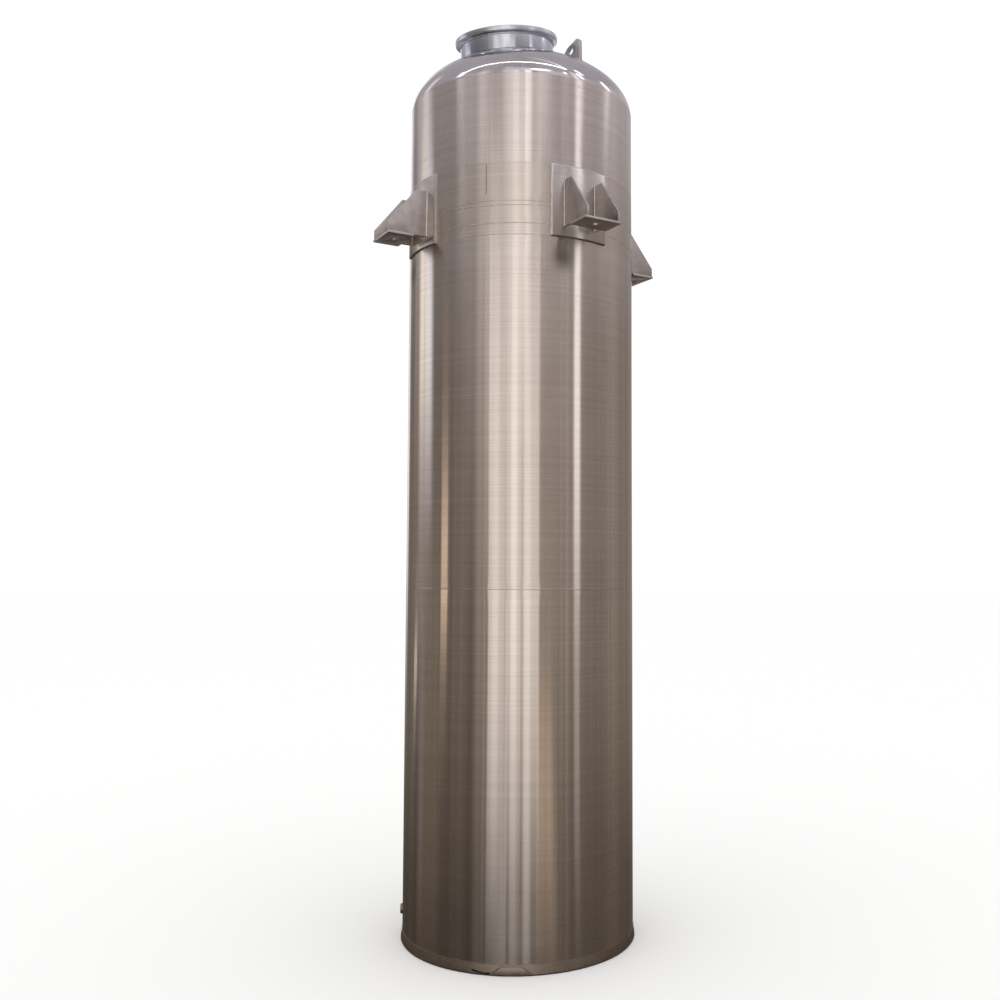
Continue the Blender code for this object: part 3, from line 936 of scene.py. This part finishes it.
def make_rib(place, azimuth, side, materials):
    """One of a bracket's two ribs, with its welds to the pad and the foot."""
    name = "left" if side < 0 else "right"
    sideways = side * RIB_SPACING / 2
    near_side = (RIB_SPACING - RIB_THICKNESS) / 2
    low = FOOT_TOP + GAP
    root_low = pad_face(low, near_side) + GAP
    root_high = pad_face(RIB_TOP, near_side) + GAP
    outline = [
        (root_low, low),
        (BRACKET_REACH, low),
        (BRACKET_REACH, low + RIB_LIP),
        (root_high + RIB_FLAT, RIB_TOP),
        (root_high, RIB_TOP),
    ]
    turned_out = radial_frame(azimuth)
    shape = plate(outline, RIB_THICKNESS, turned_out @ Matrix.Translation((0, sideways, 0)))
    node = f"{place}_bracket_{name}_rib"
    add_piece(f"{place}_{name}_rib_plate", shape, materials["plate"], "bracket_plate", node)
    beads = []
    for face in (-1, 1):
        across = sideways + face * RIB_THICKNESS / 2
        foot = turned_out @ Vector((pad_face(low, across), across, low))
        head = turned_out @ Vector((pad_face(RIB_TOP, across), across, RIB_TOP))
        beads.append(bead([foot, head], RIB_BEAD))
    across = sideways - side * RIB_THICKNESS / 2
    start = turned_out @ Vector((root_low + RIB_WELD_INSET, across, low))
    end = turned_out @ Vector((BRACKET_REACH - RIB_WELD_INSET, across, low))
    beads.append(bead([start, end], RIB_BEAD))
    add_piece(f"{place}_{name}_rib_weld", merged(beads), materials["weld"], "bracket_plate")


def make_foot(place, azimuth, materials):
    """A bracket's level foot plate with its bolt hole."""
    inner = BRACKET_REACH - FOOT_DEPTH
    half = FOOT_WIDTH / 2
    outline = [(inner, -half), (BRACKET_REACH, -half), (BRACKET_REACH, half), (inner, half)]
    middle = Matrix.Translation((0, 0, (FOOT_UNDERSIDE + FOOT_TOP) / 2))
    flat = middle @ Matrix.Rotation(math.radians(90), 4, "X")
    matrix = radial_frame(azimuth) @ flat
    hole = (FOOT_HOLE_OFFSET, 0.0, FOOT_HOLE_RADIUS)
    shape = plate(outline, FOOT_TOP - FOOT_UNDERSIDE, matrix, hole)
    add_piece(f"{place}_foot_plate", shape, materials["foot"], "bracket_foot", f"{place}_bracket_foot")


def make_brackets(materials):
    """The four bracket supports, a quarter turn apart."""
    for place, azimuth in BRACKET_AZIMUTHS.items():
        make_pad(place, azimuth, materials)
        make_rib(place, azimuth, -1, materials)
        make_rib(place, azimuth, 1, materials)
        make_foot(place, azimuth, materials)


# Bottom head and outlet

def make_bottom(materials):
    """The bottom head out of sight in the foot of the shell, and its clamped outlet."""
    outer = SHELL_RADIUS - WALL - GAP
    rise = HEAD_RATIO * outer
    hole = PIPE_RADIUS + GAP
    outside = []
    inside = []
    for radius, depth, arc in ((outer, rise, outside), (outer - WALL, rise - WALL, inside)):
        last = math.acos(hole / radius)
        for step in range(BOTTOM_STEPS + 1):
            turn = last * step / BOTTOM_STEPS
            arc.append((radius * math.cos(turn), BOTTOM_TANGENT - depth * math.sin(turn)))
    profile = [(outer, BOTTOM_HEAD_TOP)] + outside + inside[::-1] + [(outer - WALL, BOTTOM_HEAD_TOP)]
    dish = turned(profile, BOTTOM_SEGMENTS, DISH_EDGE)
    add_piece("bottom_dish", dish, materials["shell"], "brushed_shell", "bottom_head")
    bore = PIPE_RADIUS - PIPE_WALL
    profile = [(PIPE_RADIUS, PIPE_BOTTOM), (PIPE_RADIUS, PIPE_TOP), (bore, PIPE_TOP), (bore, PIPE_BOTTOM)]
    pipe = turned(profile, PIPE_SEGMENTS, THIN_EDGE)
    add_piece("outlet_tube", pipe, materials["plate"], "brushed_shell", "outlet_pipe")
    high = PIPE_BOTTOM - GAP
    profile = [
        (FERRULE_RADIUS, FERRULE_BOTTOM),
        (FERRULE_RADIUS, FERRULE_BOTTOM + FERRULE_LIP),
        (PIPE_RADIUS + FERRULE_SHOULDER, high),
        (bore, high),
        (bore, FERRULE_BOTTOM),
    ]
    ferrule = turned(profile, PIPE_SEGMENTS, FERRULE_EDGE)
    add_piece("outlet_clamp_ferrule", ferrule, materials["neck"], "polished_neck", "outlet_ferrule")
    root = level_circle(PIPE_RADIUS + WELD_OFFSET, BOTTOM_TANGENT - rise, OUTLET_WELD_STEP)
    add_piece("outlet_weld", bead(root, OUTLET_BEAD, closed=True), materials["weld"], "brushed_shell")


# Studio

WORLD_STRENGTH = 1.06
FLOOR_RADIUS = 60.0
FLOOR_COLOUR = (0.94, 0.94, 0.935, 1)
LAMP_LENGTH = 8.6
LAMP_WIDTH = 0.12
LAMP_ENERGY = 32
LAMP_PLACE = (-0.8, -2.5, 8.6)
SURROUND_RADIUS = 9.0
SURROUND_LOW = -14.0
SURROUND_HIGH = 16.0

# Stretches of the hall's wall lighter than the rest: (middle, half width, blur) in degrees, and the gain
WALLS = (
    ((-127.0, 6.0, 3.0), 0.20),
    ((-59.0, 8.0, 5.0), 0.25),
    ((-37.0, 5.0, 3.0), 0.85),
    ((33.0, 17.0, 4.0), 0.95),
    ((65.0, 6.0, 4.0), 0.15),
    ((91.0, 44.0, 6.0), 0.45),
    ((104.0, 9.0, 5.0), 0.35),
    ((152.0, 14.0, 5.0), 0.45),
)
WALLS_FADE = (7.5, 11.0)  # heights between which those stretches die away
# Tints of the light
DAYLIGHT = (1.0, 0.94, 0.90)
CLEAR = (1.0, 0.98, 1.0)
CREAM = (1.0, 0.93, 0.82)
COOL = (0.97, 0.99, 1.08)
AMBER = (1.0, 0.76, 0.56)
# Windows, panes, dark mullions and lamps: (middle, half width, blur) in degrees,
# (low, high, fade) in metres, the tint and the strength, which is negative where it darkens
WINDOWS = (
    ((-5.0, 24.0, 1.0), (-1.2, 6.0, 1.0), DAYLIGHT, 0.78),
    ((-30.5, 3.5, 2.0), (2.6, 6.3, 0.8), DAYLIGHT, 0.42),
    ((-32.0, 1.8, 2.0), (-2.2, 1.8, 0.6), DAYLIGHT, 0.14),
    ((-13.2, 0.9, 0.5), (-1.6, 3.5, 1.0), DAYLIGHT, -0.20),
    ((3.1, 1.1, 0.5), (-1.8, 3.5, 1.0), DAYLIGHT, -0.28),
    ((-6.0, 4.5, 2.0), (-3.5, 0.3, 0.8), DAYLIGHT, -0.22),
    ((-22.5, 3.5, 1.5), (-1.6, 6.0, 0.8), DAYLIGHT, 0.28),
    ((-4.5, 3.5, 2.0), (-3.0, 9.0, 1.5), DAYLIGHT, 0.50),
    ((8.5, 3.0, 1.5), (-2.8, 4.6, 0.8), DAYLIGHT, 0.38),
    ((2.5, 4.5, 2.5), (4.8, 6.8, 0.6), CLEAR, 0.50),
    ((7.5, 3.2, 1.5), (6.4, 9.5, 0.7), CLEAR, 1.00),
    ((-11.0, 3.0, 2.0), (4.6, 9.0, 1.0), DAYLIGHT, 0.16),
    ((-24.0, 5.0, 1.5), (-2.6, -1.2, 0.6), CLEAR, 0.22),
    ((-14.5, 5.0, 2.0), (-3.2, -1.2, 0.6), CLEAR, 0.22),
    ((-2.0, 14.0, 4.0), (-2.6, -1.2, 0.6), DAYLIGHT, 0.20),
    ((-5.0, 13.0, 3.0), (6.4, 12.0, 1.2), CLEAR, 0.36),
    ((-44.0, 8.0, 4.0), (2.8, 9.5, 1.2), DAYLIGHT, 0.13),
    ((-30.0, 28.0, 5.0), (5.8, 9.0, 1.0), CLEAR, 0.08),
    ((25.0, 7.0, 3.0), (-1.8, -0.4, 0.4), AMBER, 0.60),
    ((34.0, 3.5, 2.5), (-2.3, -1.3, 0.3), AMBER, 0.30),
    ((-115.0, 5.5, 3.0), (3.2, 6.2, 1.2), CREAM, 1.15),
    ((-103.0, 6.0, 2.5), (3.2, 6.2, 1.2), COOL, 1.15),
    ((-113.0, 6.0, 2.5), (6.2, 12.0, 1.6), CLEAR, 0.50),
    ((-114.0, 6.0, 3.0), (0.6, 2.4, 0.6), COOL, 0.10),
    ((-110.0, 4.0, 2.0), (-2.4, 1.0, 0.8), COOL, 0.06),
    ((-96.0, 15.0, 4.0), (-2.8, 2.0, 0.8), AMBER, 0.07),
    ((-121.8, 3.2, 1.0), (0.26, 0.50, 0.14), CREAM, 2.20),
    ((-128.0, 4.0, 2.0), (3.5, 8.0, 1.0), DAYLIGHT, 0.14),
    ((-77.0, 4.0, 1.0), (1.0, 2.4, 0.2), AMBER, 1.30),
    ((57.5, 3.4, 0.8), (1.6, 6.0, 0.8), CLEAR, 1.20),
    ((58.0, 2.4, 0.8), (6.0, 12.0, 1.0), CLEAR, 0.70),
    ((57.5, 3.0, 1.0), (-1.6, 0.8, 0.5), CLEAR, 0.26),
    ((20.0, 10.0, 5.0), (9.8, 11.6, 0.4), CLEAR, 2.2),
    ((-67.0, 4.0, 1.5), (9.0, 12.0, 0.5), CLEAR, 2.2),
    ((73.5, 2.2, 1.2), (11.8, 15.5, 0.6), CLEAR, 2.6),
    ((66.0, 2.2, 1.2), (8.8, 12.0, 0.6), CLEAR, 2.6),
    ((57.0, 1.8, 1.0), (14.4, 16.0, 0.4), CLEAR, 3.0),
    ((47.6, 1.8, 1.0), (9.9, 11.0, 0.3), CLEAR, 3.0),
    ((101.0, 3.5, 1.5), (8.2, 11.0, 0.4), CLEAR, 2.2),
    ((175.0, 12.0, 2.0), (1.0, 6.0, 2.0), DAYLIGHT, 0.60),
    ((-156.0, 6.0, 2.0), (1.0, 11.0, 2.0), CLEAR, 0.80),
)
# The wall's own brightness: (height, level, green and blue against red)
WALL_GLOW = (
    (-6.0, 0.045, 0.82, 0.68),
    (-2.2, 0.075, 0.83, 0.68),
    (-0.7, 0.150, 0.84, 0.70),
    (1.2, 0.200, 0.85, 0.74),
    (4.6, 0.215, 0.87, 0.79),
    (5.6, 0.260, 0.91, 0.91),
    (7.2, 0.400, 0.94, 0.98),
    (9.0, 0.480, 0.95, 1.00),
    (11.5, 0.480, 0.95, 1.02),
    (15.0, 0.500, 0.96, 1.04),
)


def wall_glow(graph, height):
    """The wall's own brightness and tint: dark brown low down, lighter and cooler towards the roof."""
    low, high = WALL_GLOW[0][0], WALL_GLOW[-1][0]
    ramp = graph.add("ShaderNodeValToRGB", {"Fac": graph.span(height, low, high)})
    elements = ramp.color_ramp.elements
    while len(elements) < len(WALL_GLOW):
        elements.new(0.5)
    for element, (level, red, green, blue) in zip(elements, WALL_GLOW):
        element.position = (level - low) / (high - low)
        element.color = (red, red * green, red * blue, 1)
    return ramp.outputs["Color"]


def hall_light(graph):
    """The light of the hall by azimuth and height: its wall, then each window, mullion and lamp."""
    azimuth, height = azimuth_and_height(graph)
    more = 0.0
    for stretch, gain in WALLS:
        more = graph.math("MULTIPLY_ADD", beside(graph, azimuth, *stretch), gain, more)
    gain = graph.math("MULTIPLY_ADD", more, graph.span(height, *WALLS_FADE, 1.0, 0.1), 1.0)
    light = graph.scale(wall_glow(graph, height), gain)
    for stretch, (low, high, fade), colour, strength in WINDOWS:
        above = graph.span(height, low - fade, low + fade, smooth=True)
        below = graph.span(height, high - fade, high + fade, 1.0, 0.0, smooth=True)
        shape = graph.math("MULTIPLY", beside(graph, azimuth, *stretch), graph.math("MULTIPLY", above, below))
        lit = [part * strength for part in colour]
        added = graph.add("ShaderNodeVectorMath", {0: lit, 1: shape, 2: light}, operation="MULTIPLY_ADD")
        light = added.outputs[0]
    values = {"W": azimuth, "Scale": 0.33, "Detail": 2.5}
    slats = graph.add("ShaderNodeTexNoise", values, noise_dimensions="1D")
    streaks = graph.span(slats.outputs["Fac"], 0.3, 0.7, 0.86, 1.14)
    return graph.scale(light, streaks)


def make_surround():
    """A dim hall round the tank, seen only in its reflections, with bright windows and lamps."""
    material, graph = new_material("hall")
    emission = graph.add("ShaderNodeEmission", {"Color": hall_light(graph), "Strength": 1.0})
    graph.add("ShaderNodeOutputMaterial", {"Surface": emission.outputs[0]})
    material.cycles.emission_sampling = "NONE"
    bm = bmesh.new()
    middle = Matrix.Translation((0, 0, (SURROUND_LOW + SURROUND_HIGH) / 2))
    bmesh.ops.create_cone(bm, cap_ends=True, segments=STUDIO_SEGMENTS, radius1=SURROUND_RADIUS,
                          radius2=SURROUND_RADIUS, depth=SURROUND_HIGH - SURROUND_LOW, matrix=middle)
    hall = new_object("hall", bm, material)
    for ray in ("camera", "diffuse", "shadow", "transmission"):
        setattr(hall, f"visible_{ray}", False)


def make_floor():
    """The plain pale floor, left out of the reflections."""
    material, graph = new_material("pale_floor")
    shader = graph.add("ShaderNodeBsdfDiffuse", {"Color": FLOOR_COLOUR})
    graph.add("ShaderNodeOutputMaterial", {"Surface": shader.outputs[0]})
    bm = bmesh.new()
    bmesh.ops.create_circle(bm, cap_ends=True, segments=STUDIO_SEGMENTS, radius=FLOOR_RADIUS)
    floor = new_object("floor", bm, material)
    floor.visible_glossy = False


def make_ceiling_lamp():
    """A long tube lamp over the tank, whose reflection draws the thin bright arc on the head."""
    data = bpy.data.lights.new("ceiling_lamp", "AREA")
    data.shape = "RECTANGLE"
    data.size = LAMP_LENGTH
    data.size_y = LAMP_WIDTH
    data.energy = LAMP_ENERGY
    lamp = bpy.data.objects.new("ceiling_lamp", data)
    lamp.location = LAMP_PLACE
    bpy.context.collection.objects.link(lamp)


def make_studio():
    """The plain pale studio, with the hall that the steel reflects."""
    scene = bpy.context.scene
    world = bpy.data.worlds.new("pale_studio")
    world.use_nodes = True
    back = world.node_tree.nodes["Background"]
    back.inputs["Color"].default_value = (1.0, 1.0, 1.0, 1)
    back.inputs["Strength"].default_value = WORLD_STRENGTH
    world.cycles_visibility.glossy = False
    scene.world = world
    scene.view_settings.view_transform = "Standard"
    make_floor()
    make_surround()
    make_ceiling_lamp()


def build():
    """Makes the camera, the tank and the studio."""
    make_camera()
    materials = make_materials()
    make_shell(materials)
    make_seams(materials)
    make_base(materials)
    make_boss(materials)
    make_head(materials)
    make_neck(materials)
    lifting_lug("right_lug", "lifting_lug_right", LIFT_AZIMUTH, materials)
    lifting_lug("left_lug", "lifting_lug_left", LIFT_AZIMUTH - 180.0, materials)
    make_brackets(materials)
    make_bottom(materials)
    make_studio()


build()
